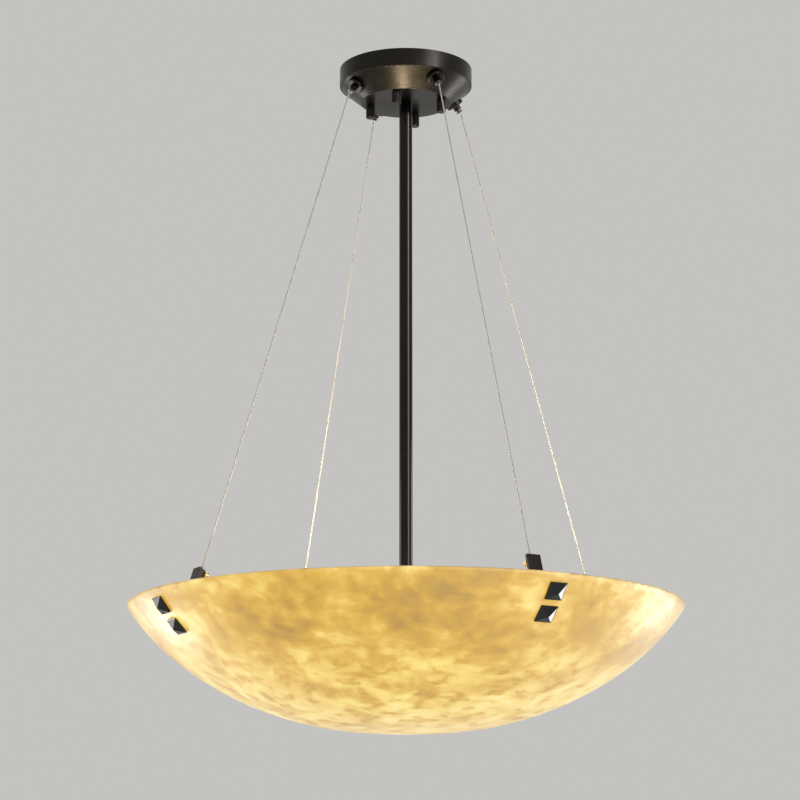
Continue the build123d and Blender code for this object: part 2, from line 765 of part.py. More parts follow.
screw_tip = stop_bore / 2
screw_seat = stop_diameter / 2 + seat_gap
with BuildPart() as stop_screws:
    for azimuth in azimuths:
        place = seat(azimuth, stop_middle, cable_lean + 90)
        with BuildSketch(place.offset(-screw_tip)):
            Circle(stop_screw_diameter / 2)
        extrude(amount=screw_tip - screw_seat - stop_screw_head_height)
        with BuildSketch(place.offset(-screw_seat)):
            Circle(stop_screw_head / 2)
            with PolarLocations(stop_screw_head / 2 + stop_screw_groove / 4, stop_screw_grooves):
                Circle(stop_screw_groove / 2, mode=Mode.SUBTRACT)
        extrude(amount=-stop_screw_head_height)
save(stop_screws, "stop_screws")

# Pyramid studs through the wall and bracket, with pads, washers and nuts
stack = bowl_wall + inner_pad + bracket_thickness + seat_gap
shank_length = outer_pad + stack + stud_washer + stud_nut_height + stud_spare
with BuildPart() as pyramid_studs:
    for azimuth in azimuths:
        for lean in stud_leans:
            place = seat(azimuth, bowl_point(lean, half_wall), lean)
            with BuildSketch(place.offset(outer_pad)):
                Rectangle(stud_side, stud_side)
            extrude(amount=stud_rim)
            with BuildSketch(place.offset(outer_pad + stud_rim)):
                Rectangle(stud_side - 2 * stud_ledge, stud_side - 2 * stud_ledge)
            with BuildSketch(place.offset(outer_pad + stud_rim + stud_peak)):
                Rectangle(stud_tip, stud_tip)
            loft(ruled=True)
            with BuildSketch(place.offset(outer_pad)):
                Circle(stud_shank / 2)
            extrude(amount=-shank_length)
save(pyramid_studs, "pyramid_studs")


def stud_rings(depth, height, radius, sides=0):
    """Rings, or hexagons of six sides, on every stud at a depth below the outer wall."""
    with BuildPart() as rings:
        for azimuth in azimuths:
            for lean in stud_leans:
                with BuildSketch(seat(azimuth, bowl_point(lean, half_wall), lean).offset(-depth)):
                    if sides:
                        RegularPolygon(radius, sides, major_radius=False)
                    else:
                        Circle(radius)
                    Circle(stud_shank / 2 + thread_gap, mode=Mode.SUBTRACT)
                extrude(amount=-height)
    return rings


save(stud_rings(-outer_pad, outer_pad, pad_radius), "outer_pads")
save(stud_rings(bowl_wall + seat_gap, inner_pad - seat_gap, pad_radius), "inner_pads")
save(stud_rings(stack, stud_washer, stud_washer_radius), "stud_washers")
save(stud_rings(stack + stud_washer, stud_nut_height, stud_nut_flats / 2, 6), "stud_nuts")
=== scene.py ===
"""Alabaster bowl pendant: the looks of the light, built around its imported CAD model.

Metres, +Z up, in the CAD model's own frame: the origin is the centre of the ceiling plane.
Each sub-assembly is a class that holds its sizes, makes its finer pieces and dresses its CAD
nodes, and each finish is a frozen dataclass that makes one procedural material. The strands
of the cables are placed from the frame's own boxes.
"""

from __future__ import annotations

import json
import logging
import math
from dataclasses import dataclass
from enum import Enum
from typing import Iterable, Sequence

import bmesh
import bpy
import numpy as np
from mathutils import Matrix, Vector

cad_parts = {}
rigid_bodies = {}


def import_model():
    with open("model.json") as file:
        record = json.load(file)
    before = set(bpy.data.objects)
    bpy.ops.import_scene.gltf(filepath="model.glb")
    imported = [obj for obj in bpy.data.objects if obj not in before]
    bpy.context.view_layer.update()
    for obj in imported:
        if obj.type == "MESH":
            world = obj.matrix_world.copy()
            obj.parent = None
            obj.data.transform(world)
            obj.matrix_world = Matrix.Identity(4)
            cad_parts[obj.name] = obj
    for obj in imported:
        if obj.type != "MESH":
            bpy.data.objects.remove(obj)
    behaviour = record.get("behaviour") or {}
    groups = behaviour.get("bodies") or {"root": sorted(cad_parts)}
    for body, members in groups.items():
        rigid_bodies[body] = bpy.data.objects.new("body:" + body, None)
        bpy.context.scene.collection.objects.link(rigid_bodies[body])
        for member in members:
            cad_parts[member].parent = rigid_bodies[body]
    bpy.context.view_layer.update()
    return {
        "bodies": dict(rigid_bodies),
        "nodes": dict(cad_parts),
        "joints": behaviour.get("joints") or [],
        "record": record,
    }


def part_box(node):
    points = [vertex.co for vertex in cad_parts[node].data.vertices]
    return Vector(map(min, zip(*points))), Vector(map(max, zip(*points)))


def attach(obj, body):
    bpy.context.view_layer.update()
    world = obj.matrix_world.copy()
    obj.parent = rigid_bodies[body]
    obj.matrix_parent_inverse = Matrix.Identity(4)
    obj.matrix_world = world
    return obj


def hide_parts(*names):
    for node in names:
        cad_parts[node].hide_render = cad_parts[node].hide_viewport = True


logging.basicConfig(level=logging.INFO, format="%(name)s: %(message)s")
LOG = logging.getLogger("pendant")

MM = 0.001
CABLE_AZIMUTHS = (0.0, 90.0, 180.0, 270.0)
LAMP_AZIMUTHS = (45.0, 135.0, 225.0, 315.0)
CORNERS = range(1, 5)

# The Mix node's colour sockets have the names of its other sockets, so they go by index.
MIX_FACTOR, MIX_A, MIX_B, MIX_RESULT = 0, 6, 7, 2
# A noise node's middle value, and the span that most of its values lie in.
NOISE_MIDDLE = 0.5
NOISE_SPAN = (0.3, 0.7)
# The radius in metres at which lines that run around have the spacing that is stated.
ANGLE_RADIUS = 0.1
WELD_GAP = 0.002 * MM
BEVEL_STEPS = 2
AREA_WEIGHT = 100

Colour = tuple[float, float, float]
Triple = tuple[float, float, float]
Socket = bpy.types.NodeSocket
FRAME: dict = {}


class Grain(Enum):
    """Which way the fine lines of a brushed or turned surface run."""

    AROUND = "around"
    ALONG = "along"
    EVEN = "even"


# ---------------------------------------------------------------- materials


class Bench:
    """Builds the node tree of one material around a Principled shader."""

    def __init__(self, name: str) -> None:
        """Starts a material.

        Args:
            name: The material's name.
        """
        self.material = bpy.data.materials.new(name)
        self.material.use_nodes = True
        self.tree = self.material.node_tree
        self.shader = self.tree.nodes["Principled BSDF"]
        self.spots = self.add("ShaderNodeTexCoord").outputs
        self.place = self.spots["Object"]

    def add(self, kind: str, settings: dict | None = None, **inputs: object) -> bpy.types.Node:
        """Adds a node.

        Args:
            kind: The node's type name.
            settings: The node's own properties.
            **inputs: Values or sockets for its inputs, by name with underscores for spaces.

        Returns:
            The node.
        """
        node = self.tree.nodes.new(kind)
        for name, value in (settings or {}).items():
            setattr(node, name, value)
        for name, value in inputs.items():
            self.feed(node.inputs[name.replace("_", " ")], value)
        return node

    def feed(self, target: Socket, value: object) -> None:
        """Links a socket to an input, or sets the input's value.

        Args:
            target: The input.
            value: A socket, a number, a vector or a colour.
        """
        if isinstance(value, bpy.types.NodeSocket):
            self.tree.links.new(value, target)
        elif isinstance(value, tuple) and len(value) == 3 and target.type == "RGBA":
            target.default_value = (*value, 1.0)
        else:
            target.default_value = value

    def set(self, **inputs: object) -> None:
        """Feeds the shader's own inputs.

        Args:
            **inputs: Values or sockets, by name with underscores for spaces.
        """
        for name, value in inputs.items():
            self.feed(self.shader.inputs[name.replace("_", " ")], value)

    def math(self, operation: str, a: object, b: object = 0.0) -> Socket:
        """Combines numbers with a Math node.

        Args:
            operation: The node's operation.
            a: The first number or socket.
            b: The second number or socket.

        Returns:
            The result.
        """
        node = self.add("ShaderNodeMath", {"operation": operation})
        for target, value in zip(node.inputs, (a, b)):
            self.feed(target, value)
        return node.outputs[0]

    def total(self, *terms: object) -> Socket:
        """Adds numbers up.

        Args:
            *terms: Two or more numbers or sockets.

        Returns:
            Their sum.
        """
        result = terms[0]
        for term in terms[1:]:
            result = self.math("ADD", result, term)
        return result

    def times(self, *terms: object) -> Socket:
        """Multiplies numbers together.

        Args:
            *terms: Two or more numbers or sockets.

        Returns:
            Their product.
        """
        result = terms[0]
        for term in terms[1:]:
            result = self.math("MULTIPLY", result, term)
        return result

    def vector(self, operation: str, a: object, b: object = (0.0, 0.0, 0.0)) -> Socket:
        """Combines vectors with a Vector Math node.

        Args:
            operation: The node's operation.
            a: The first vector or socket.
            b: The second vector or socket.

        Returns:
            The resulting vector.
        """
        node = self.add("ShaderNodeVectorMath", {"operation": operation})
        self.feed(node.inputs[0], a)
        self.feed(node.inputs[1], b)
        return node.outputs["Vector"]

    def split(self, vector: Socket) -> tuple[Socket, Socket, Socket]:
        """Takes a vector apart.

        Args:
            vector: The vector.

        Returns:
            Its x, y and z.
        """
        node = self.add("ShaderNodeSeparateXYZ", Vector=vector)
        return node.outputs["X"], node.outputs["Y"], node.outputs["Z"]

    def join(self, x: object, y: object, z: object) -> Socket:
        """Returns a vector of three numbers."""
        return self.add("ShaderNodeCombineXYZ", X=x, Y=y, Z=z).outputs["Vector"]

    def noise(
        self,
        scale: float,
        detail: float = 3.0,
        at: Socket | None = None,
        rough: float = 0.5,
        twist: float = 0.0,
    ) -> Socket:
        """Makes noise.

        Args:
            scale: Features to the metre.
            detail: Octaves of finer noise.
            at: The place it is read at, or the object's own place.
            rough: The strength of the finer octaves.
            twist: How far the noise is folded into itself.

        Returns:
            The noise, about 0.3 to 0.7.
        """
        node = self.add(
            "ShaderNodeTexNoise",
            Vector=at or self.place,
            Scale=scale,
            Detail=detail,
            Roughness=rough,
            Distortion=twist,
        )
        return node.outputs["Fac"]

    def span(
        self, value: object, low: float, high: float, start: float = 0.0, end: float = 1.0
    ) -> Socket:
        """Maps a number smoothly from one range to another, held at both ends.

        Args:
            value: The number or socket.
            low: Where the first range starts.
            high: Where the first range ends.
            start: Where the second range starts.
            end: Where the second range ends.

        Returns:
            The mapped number.
        """
        node = self.add("ShaderNodeMapRange", {"interpolation_type": "SMOOTHSTEP"}, Value=value)
        limits = {"From Min": low, "From Max": high, "To Min": start, "To Max": end}
        for name, number in limits.items():
            node.inputs[name].default_value = number
        return node.outputs["Result"]

    def ramp(self, factor: Socket, stops: Sequence[tuple[float, Colour]]) -> Socket:
        """Reads a colour off a ramp.

        Args:
            factor: The place along the ramp.
            stops: The ramp's places and colours.

        Returns:
            The colour.
        """
        node = self.add("ShaderNodeValToRGB", Fac=factor)
        marks = node.color_ramp.elements
        while len(marks) < len(stops):
            marks.new(0.5)
        for mark, (place, colour) in zip(marks, stops):
            mark.position = place
            mark.color = (*colour, 1.0)
        return node.outputs["Color"]

    def mix(self, factor: object, a: object, b: object) -> Socket:
        """Mixes two colours.

        Args:
            factor: The share of the second colour.
            a: The first colour or socket.
            b: The second colour or socket.

        Returns:
            The mixed colour.
        """
        node = self.add("ShaderNodeMix", {"data_type": "RGBA"})
        for index, value in ((MIX_FACTOR, factor), (MIX_A, a), (MIX_B, b)):
            self.feed(node.inputs[index], value)
        return node.outputs[MIX_RESULT]

    def bump(self, height: Socket, distance: float, strength: float = 1.0) -> None:
        """Gives the shader a bump.

        Args:
            height: The relief, 0 to 1.
            distance: Its depth in metres.
            strength: Its share, 0 to 1.
        """
        node = self.add("ShaderNodeBump", Height=height, Distance=distance, Strength=strength)
        self.set(Normal=node.outputs["Normal"])

    def radius(self, x: Socket, y: Socket) -> Socket:
        """Returns the length of a level vector."""
        return self.math("SQRT", self.total(self.times(x, x), self.times(y, y)))

    def lines(self, grain: Grain, fine: float, coarse: float) -> Socket:
        """Makes noise drawn out into fine lines.

        Args:
            grain: The way the lines run.
            fine: Features to the metre across the lines.
            coarse: Features to the metre along them, at ANGLE_RADIUS where they run around.

        Returns:
            The noise.
        """
        x, y, z = self.split(self.place)
        if grain is Grain.AROUND:
            turn = self.math("ARCTAN2", y, x)
            scaled = self.join(
                self.times(self.radius(x, y), fine),
                self.times(turn, coarse * ANGLE_RADIUS),
                self.times(z, fine),
            )
        elif grain is Grain.ALONG:
            scaled = self.join(self.times(x, fine), self.times(y, fine), self.times(z, coarse))
        else:
            scaled = self.vector("MULTIPLY", self.place, (fine, fine, fine))
        return self.noise(1.0, detail=4.0, at=scaled, rough=0.6)


@dataclass(frozen=True)
class Layer:
    """One layer of light and dark in the stone, whose strength changes from rim to foot."""

    scale: float
    detail: float
    flat: bool
    rough: float
    twist: float
    depths: tuple[float, float]
    strengths: tuple[float, float]


@dataclass(frozen=True)
class Alabaster:
    """Stone whose emission is a painted glow of the lamps inside: soft gold clouds above, pale
    swirls with brown flecks towards the foot.
    """

    name: str = "alabaster"
    # Colours of the painted glow, from the darkest vein to the brightest stone.
    painted_glow_colours: tuple[tuple[float, Colour], ...] = (
        (0.00, (0.36, 0.185, 0.0)),
        (0.25, (0.51, 0.272, 0.0)),
        (0.50, (0.65, 0.372, 0.0)),
        (0.75, (0.83, 0.585, 0.065)),
        (1.00, (0.92, 0.768, 0.250)),
    )
    skin_deep: Colour = (0.55, 0.46, 0.29)
    skin_pale: Colour = (0.64, 0.61, 0.55)
    skin_span: tuple[float, float] = (0.25, 0.80)
    polish_span: tuple[float, float] = (0.2, 0.8)
    polish: tuple[float, float] = (0.44, 0.34)
    block: Triple = (5.2, 2.6, 0.9)
    rim_z: float = -0.622
    foot_z: float = -0.760
    drift_scale: float = 6.0
    drift: Triple = (0.07, 0.07, 0.04)
    flattening: Triple = (1.0, 1.0, 1.7)
    layers: tuple[Layer, ...] = (
        Layer(8.5, 5.0, True, 0.55, 0.0, depths=(0.2, 0.7), strengths=(2.1, 1.0)),
        Layer(24.0, 4.0, False, 0.55, 0.4, depths=(0.2, 0.7), strengths=(0.85, 1.2)),
        Layer(52.0, 2.0, True, 0.5, 0.3, depths=(0.2, 0.9), strengths=(0.80, 0.55)),
    )
    # Painted glow: the stone's emission brightens from the rim towards the foot.
    painted_glow_depths: tuple[float, float] = (0.30, 0.66)
    painted_glow_levels: tuple[float, float] = (0.41, 0.64)
    fleck_scale: float = 54.0
    fleck_detail: float = 2.6
    fleck_flattening: Triple = (1.0, 1.0, 2.2)
    fleck_span: tuple[float, float] = (0.52, 0.30)
    fleck_depths: tuple[float, float] = (0.35, 0.85)
    fleck_tone: float = -0.34
    # Painted pool of light on the stone under each lamp.
    painted_pool_reach: float = 0.095
    painted_pool_tone: float = 0.08
    # Painted shadow of the brackets' lower legs, seen through the stone.
    bracket_start: float = 0.226
    bracket_fade: float = 0.03
    bracket_half: float = 0.008
    bracket_outer: float = 0.008 * 3.2
    painted_shadow_tone: float = -0.10
    # Painted glow is dimmer on faces turned up: the rim's top and the inside.
    facing_up: tuple[float, float] = (0.35, 0.95)
    glow_outside: float = 1.0
    glow_inside: float = 0.5
    pore_scale: float = 160.0
    pore_depth: float = 0.3 * MM
    pore_share: float = 0.35

    def make(self) -> bpy.types.Material:
        """Makes the material.

        Returns:
            The material.
        """
        b = Bench(self.name)
        x, y, z = b.split(b.place)
        depth = b.span(z, self.rim_z, self.foot_z)
        # The stone's vein pattern over a painted glow that brightens towards the foot.
        stone = self.veins_and_glow(b, depth)
        # Painted shadow of the brackets' legs on the stone.
        shade = b.times(self.painted_bracket_shadow(b, x, y), self.painted_shadow_tone)
        # Painted pool of light under the lamps, added with the painted shadow to the stone's tone.
        tone = b.total(stone, b.times(self.painted_lamp_pool(b, x, y), self.painted_pool_tone), shade)
        # Faces turned up get a painted, dimmer glow.
        up = b.split(b.spots["Normal"])[2]
        b.set(
            # The skin's colour and the polish follow the same tone, so they too change with the
            # painted glow towards the foot.
            Base_Color=b.mix(b.span(stone, *self.skin_span), self.skin_deep, self.skin_pale),
            Roughness=b.span(stone, *self.polish_span, *self.polish),
            # Painted glow: the emission stands in for the lamplight through the stone, dimmer on
            # faces turned up.
            Emission_Color=b.ramp(tone, self.painted_glow_colours),
            Emission_Strength=b.span(up, *self.facing_up, self.glow_outside, self.glow_inside),
            Specular_IOR_Level=0.30,
            Coat_Weight=0.25,
            Coat_Roughness=0.30,
            Sheen_Weight=0.4,
            Sheen_Roughness=0.45,
        )
        pores = b.noise(self.pore_scale, detail=4.0, rough=0.6)
        b.bump(pores, self.pore_depth, self.pore_share)
        return b.material

    def veins_and_glow(self, b: Bench, depth: Socket) -> Socket:
        """Makes the stone's own light and dark over a painted glow that brightens towards the foot.

        Args:
            b: The bench.
            depth: 0 at the rim to 1 at the foot.

        Returns:
            The tone, about 0 to 1.
        """
        moved = b.vector("ADD", b.place, self.block)
        noise = b.add("ShaderNodeTexNoise", Vector=moved, Scale=self.drift_scale, Detail=2.0)
        drift = b.vector("MULTIPLY", noise.outputs["Color"], self.drift)
        bent = b.vector("ADD", moved, drift)
        flat = b.vector("MULTIPLY", bent, self.flattening)
        # Painted glow, brighter towards the foot, under the vein pattern.
        terms = [b.span(depth, *self.painted_glow_depths, *self.painted_glow_levels)]
        for layer in self.layers:
            at = flat if layer.flat else bent
            cloud = b.noise(layer.scale, layer.detail, at, layer.rough, layer.twist)
            strength = b.span(depth, *layer.depths, *layer.strengths)
            terms.append(b.times(b.math("SUBTRACT", cloud, NOISE_MIDDLE), strength))
        stretched = b.vector("MULTIPLY", bent, self.fleck_flattening)
        flecks = b.span(b.noise(self.fleck_scale, self.fleck_detail, stretched), *self.fleck_span)
        low = b.span(depth, *self.fleck_depths)
        return b.total(*terms, b.times(flecks, low, self.fleck_tone))

    def painted_lamp_pool(self, b: Bench, x: Socket, y: Socket) -> Socket:
        """Marks the painted pool of light on the stone under the lamps.

        Args:
            b: The bench.
            x: The place along X.
            y: The place along Y.

        Returns:
            1 right under a lamp, fading to 0 further off.
        """
        aside = b.math("SUBTRACT", b.math("ABSOLUTE", x), self.painted_pool_reach)
        ahead = b.math("SUBTRACT", b.math("ABSOLUTE", y), self.painted_pool_reach)
        return b.span(b.radius(aside, ahead), 0.0, self.painted_pool_reach, 1.0, 0.0)

    def painted_bracket_shadow(self, b: Bench, x: Socket, y: Socket) -> Socket:
        """Marks the painted shadow of the brackets' lower legs on the stone.

        Args:
            b: The bench.
            x: The place along X.
            y: The place along Y.

        Returns:
            1 where a leg shades the stone from inside, fading to 0 beside it.
        """
        ax, ay = b.math("ABSOLUTE", x), b.math("ABSOLUTE", y)
        aside = b.math("MINIMUM", ax, ay)
        beside = b.span(aside, self.bracket_half, self.bracket_outer, 1.0, 0.0)
        end = self.bracket_start + self.bracket_fade
        return b.times(beside, b.span(b.math("MAXIMUM", ax, ay), self.bracket_start, end))


@dataclass(frozen=True)
class DarkMetal:
    """Dark bronze, brushed or turned, with faint lighter wear in its lines."""

    name: str
    grain: Grain = Grain.AROUND
    tone: Colour = (0.027, 0.0245, 0.022)
    worn: Colour = (0.046, 0.041, 0.035)
    gloss: float = 0.27
    dull: float = 0.38
    fine: float = 3200.0
    coarse: float = 60.0
    pull: float = 0.0
    relief: float = 0.12
    patch_scale: float = 28.0
    line_depth: float = 0.03 * MM
    worn_lines: tuple[float, float] = (0.52, 0.74)
    worn_patches: tuple[float, float] = (0.42, 0.62)
    worn_shares: tuple[float, float] = (0.25, 1.0)
    patch_gloss: tuple[float, float] = (-0.03, 0.04)

    def make(self) -> bpy.types.Material:
        """Makes the material.

        Returns:
            The material.
        """
        b = Bench(self.name)
        lines = b.lines(self.grain, self.fine, self.coarse)
        patches = b.noise(self.patch_scale, detail=4.0)
        spots = b.span(patches, *self.worn_patches, *self.worn_shares)
        wear = b.times(b.span(lines, *self.worn_lines), spots)
        b.set(
            Base_Color=b.mix(wear, self.tone, self.worn),
            Metallic=1.0,
            Roughness=b.total(
                b.span(lines, *NOISE_SPAN, self.gloss, self.dull),
                b.span(patches, *NOISE_SPAN, *self.patch_gloss),
            ),
        )
        if self.pull:
            tangent = b.add("ShaderNodeTangent", {"direction_type": "RADIAL", "axis": "Z"})
            b.set(Anisotropic=self.pull, Tangent=tangent.outputs["Tangent"])
        b.bump(lines, self.line_depth, self.relief)
        return b.material


@dataclass(frozen=True)
class PolishedMetal:
    """Smooth plated or turned metal with faint lines and smudges."""

    name: str
    tone: Colour
    tarnish: Colour
    gloss: float = 0.16
    dull: float = 0.30
    grain: Grain = Grain.EVEN
    fine: float = 900.0
    coarse: float = 60.0
    line_depth: float = 0.02 * MM
    line_share: float = 0.4
    line_gloss: float = 0.06
    smudge_scale: float = 70.0
    tarnished: tuple[float, float] = (0.48, 0.70)

    def make(self) -> bpy.types.Material:
        """Makes the material.

        Returns:
            The material.
        """
        b = Bench(self.name)
        lines = b.lines(self.grain, self.fine, self.coarse)
        smudge = b.noise(self.smudge_scale, detail=5.0)
        b.set(
            Base_Color=b.mix(b.span(smudge, *self.tarnished), self.tone, self.tarnish),
            Metallic=1.0,
            Roughness=b.total(
                b.span(smudge, *NOISE_SPAN, self.gloss, self.dull),
                b.span(lines, *NOISE_SPAN, 0.0, self.line_gloss),
            ),
        )
        b.bump(lines, self.line_depth, self.line_share)
        return b.material


@dataclass(frozen=True)
class LitGlass:
    """Frosted lamp glass that shines."""

    name: str = "frosted_lamp_glass"
    core: Colour = (1.0, 0.88, 0.64)
    edge: Colour = (0.97, 0.74, 0.42)
    frost: Colour = (0.80, 0.78, 0.74)
    frost_pale: Colour = (0.86, 0.84, 0.80)
    strength: float = 1.1
    gloss: float = 0.42
    dull: float = 0.6
    grit_scale: float = 900.0
    grit_depth: float = 0.04 * MM
    grit_share: float = 0.5
    patch_scale: float = 24.0
    patch_span: tuple[float, float] = (0.35, 0.65)

    def make(self) -> bpy.types.Material:
        """Makes the material.

        Returns:
            The material.
        """
        b = Bench(self.name)
        grit = b.noise(self.grit_scale)
        patch = b.noise(self.patch_scale)
        b.set(
            Base_Color=b.mix(b.span(patch, *self.patch_span), self.frost, self.frost_pale),
            Roughness=b.span(grit, *NOISE_SPAN, self.gloss, self.dull),
            Emission_Color=b.mix(b.span(patch, *NOISE_SPAN), self.edge, self.core),
            Emission_Strength=self.strength,
        )
        b.bump(grit, self.grit_depth, self.grit_share)
        return b.material


@dataclass(frozen=True)
class MouldedPlastic:
    """Moulded plastic, rubber or glazed porcelain with a fine even texture."""

    name: str
    tone: Colour
    shade: Colour
    gloss: float = 0.35
    dull: float = 0.55
    scale: float = 500.0
    pore_depth: float = 0.05 * MM
    pore_share: float = 0.4
    patch_scale: float = 40.0
    patch_span: tuple[float, float] = (0.38, 0.64)

    def make(self) -> bpy.types.Material:
        """Makes the material.

        Returns:
            The material.
        """
        b = Bench(self.name)
        pores = b.noise(self.scale, detail=4.0)
        patch = b.noise(self.patch_scale)
        b.set(
            Base_Color=b.mix(b.span(patch, *self.patch_span), self.tone, self.shade),
            Roughness=b.span(pores, *NOISE_SPAN, self.gloss, self.dull),
        )
        b.bump(pores, self.pore_depth, self.pore_share)
        return b.material


class Finishes:
    """Every finish of the light, made once and shared."""

    def __init__(self) -> None:
        """Makes the materials."""
        kinds = (
            Alabaster(),
            DarkMetal(
                "bronze_turned",
                Grain.AROUND,
                worn=(0.040, 0.036, 0.031),
                gloss=0.24,
                dull=0.32,
                pull=0.6,
                relief=0.07,
            ),
            DarkMetal(
                "bronze_drawn",
                Grain.ALONG,
                worn=(0.032, 0.029, 0.026),
                gloss=0.13,
                dull=0.19,
                fine=2600.0,
                coarse=14.0,
                relief=0.015,
            ),
            DarkMetal("bronze_flat", Grain.EVEN, gloss=0.26, dull=0.36, fine=1500.0),
            PolishedMetal("stud_plate", (0.050, 0.050, 0.052), (0.038, 0.038, 0.040), 0.08, 0.14),
            PolishedMetal("plunger_plate", (0.11, 0.105, 0.10), (0.07, 0.065, 0.06), 0.16, 0.28),
            PolishedMetal("zinc_plate", (0.62, 0.62, 0.60), (0.45, 0.44, 0.40), 0.28, 0.42),
            PolishedMetal("cable_steel", (0.62, 0.605, 0.57), (0.55, 0.535, 0.50), 0.70, 0.78),
            PolishedMetal("turned_brass", (0.80, 0.58, 0.24), (0.56, 0.37, 0.14), 0.20, 0.32),
            PolishedMetal("green_plate", (0.08, 0.34, 0.12), (0.05, 0.22, 0.07), 0.28, 0.42),
            PolishedMetal("lamp_shell", (0.76, 0.75, 0.71), (0.60, 0.58, 0.52), 0.22, 0.36),
            LitGlass(),
            MouldedPlastic("porcelain", (0.80, 0.78, 0.73), (0.72, 0.69, 0.63), 0.14, 0.26, 300.0),
            MouldedPlastic(
                "pad_rubber", (0.022, 0.022, 0.022), (0.035, 0.034, 0.033), 0.6, 0.8, 900.0
            ),
            MouldedPlastic("wire_sleeve", (0.72, 0.70, 0.66), (0.60, 0.57, 0.52), 0.45, 0.6, 700.0),
            MouldedPlastic(
                "connector_shell", (0.78, 0.58, 0.34), (0.68, 0.48, 0.26), 0.25, 0.4, 400.0
            ),
        )
        self.made = {kind.name: kind.make() for kind in kinds}

    def __getitem__(self, name: str) -> bpy.types.Material:
        """Returns a material by its name."""
        return self.made[name]


# ---------------------------------------------------------------- mesh making


def dress(name: str, material: bpy.types.Material, edge: float, crease: float = 32.0) -> None:
    """Gives a CAD node its finish, with smooth curved faces and slightly broken edges.

    Args:
        name: The CAD node.
        material: Its finish.
        edge: The width of the broken edges in metres, or 0 for sharp ones.
        crease: The angle in degrees past which an edge stays an edge.
    """
    node = FRAME["nodes"][name]
    node.data.materials.clear()
    node.data.materials.append(material)
    weld = node.modifiers.new("weld", "WELD")
    weld.merge_threshold = WELD_GAP
    if edge:
        bevel = node.modifiers.new("broken_edges", "BEVEL")
        bevel.width = edge
        bevel.segments = BEVEL_STEPS
        bevel.limit_method = "ANGLE"
        bevel.angle_limit = math.radians(crease)
        bevel.use_clamp_overlap = True
        normals = node.modifiers.new("even_faces", "WEIGHTED_NORMAL")
        normals.weight = AREA_WEIGHT
        normals.keep_sharp = True
    LOG.info("dressed %s in %s", name, material.name)


def add_mesh(
    name: str, corners: np.ndarray, faces: Iterable[Sequence[int]], material: bpy.types.Material
) -> bpy.types.Object:
    """Makes a smooth mesh piece with one finish and links it to the scene.

    Args:
        name: The piece's name.
        corners: Its points.
        faces: Its faces as point indices.
        material: Its finish.

    Returns:
        The piece.
    """
    mesh = bpy.data.meshes.new(name)
    mesh.from_pydata(np.asarray(corners).tolist(), [], [list(f) for f in faces])
    mesh.validate()
    mesh.materials.append(material)
    mesh.polygons.foreach_set("use_smooth", [True] * len(mesh.polygons))
    piece = bpy.data.objects.new(name, mesh)
    bpy.context.scene.collection.objects.link(piece)
    return piece


def tube_faces(rings: int, sides: int, first: int) -> list[tuple[int, ...]]:
    """Lists the faces of a tube with closed ends.

    Args:
        rings: Rings of points along the tube.
        sides: Points in a ring.
        first: The index of the tube's first point.

    Returns:
        The faces as point indices.
    """
    walls = [
        (
            first + ring * sides + side,
            first + ring * sides + (side + 1) % sides,
            first + (ring + 1) * sides + (side + 1) % sides,
            first + (ring + 1) * sides + side,
        )
        for ring in range(rings - 1)
        for side in range(sides)
    ]
    last = first + (rings - 1) * sides
    foot, head = range(first + sides - 1, first - 1, -1), range(last, last + sides)
    return [*walls, tuple(foot), tuple(head)]


@dataclass(frozen=True)
class Route:
    """A straight cable's route, from its gripper down to its tail."""

    start: Vector
    end: Vector
    stops: int = 4
    order: int = 3
    resolution: int = 24

    def curve_points(self, name: str) -> np.ndarray:
        """Reads the points of the route's own NURBS spline.

        Args:
            name: A name for the spline while it is read.

        Returns:
            The spline's points, in order.
        """
        curve = bpy.data.curves.new(name, "CURVE")
        curve.dimensions = "3D"
        spline = curve.splines.new("NURBS")
        spline.points.add(self.stops - 1)
        for index, point in enumerate(spline.points):
            point.co = (*self.start.lerp(self.end, index / (self.stops - 1)), 1.0)
        spline.order_u = self.order
        spline.use_endpoint_u = True
        spline.resolution_u = self.resolution
        holder = bpy.data.objects.new(name, curve)
        mesh = bpy.data.meshes.new_from_object(holder)
        points = np.array([v.co for v in mesh.vertices], float)
        bpy.data.objects.remove(holder)
        bpy.data.curves.remove(curve)
        bpy.data.meshes.remove(mesh)
        return points


# ---------------------------------------------------------------- sub-assemblies


@dataclass
class SubAssembly:
    """One sub-assembly: it builds its finer pieces and dresses its CAD nodes."""

    finishes: Finishes
    edge: float = 0.2 * MM
    fine_edge: float = 0.1 * MM

    def dress_all(self, finish: str, names: Iterable[str], edge: float | None = None) -> None:
        """Dresses several CAD nodes in one finish.

        Args:
            finish: The finish's name.
            names: The nodes.
            edge: The width of their broken edges, or the sub-assembly's own.
        """
        for name in names:
            dress(name, self.finishes[finish], self.edge if edge is None else edge)

    def each(self, stem: str) -> list[str]:
        """Returns the names of the four nodes with a stem."""
        return [f"{stem}_{number}" for number in CORNERS]


@dataclass
class Canopy(SubAssembly):
    """The canopy against the ceiling, its hidden plate and its cable grippers."""

    def build(self) -> None:
        """Dresses the canopy's nodes."""
        self.dress_all("bronze_turned", ["canopy"])
        self.dress_all("bronze_flat", ["canopy_cap_nuts", *self.each("gripper_body")])
        self.dress_all("plunger_plate", self.each("gripper_plunger"), self.fine_edge)
        inner = ["ceiling_plate", "support_rods", "support_nuts", "gripper_nuts"]
        self.dress_all("zinc_plate", inner)
        self.dress_all("green_plate", ["ground_screw"])
        self.dress_all("wire_sleeve", ["stem_wires"], 0)
        self.dress_all("connector_shell", ["wire_connectors"])


@dataclass
class Stem(SubAssembly):
    """The tube from the canopy down into the bowl, with its threaded inner pieces."""

    tube_edge: float = 0.3 * MM

    def build(self) -> None:
        """Dresses the stem's nodes."""
        self.dress_all("bronze_drawn", ["stem"], self.tube_edge)
        inner = ["stem_couplings", "top_nipple", "stem_lock_washer", "stem_locknut"]
        self.dress_all("zinc_plate", inner)


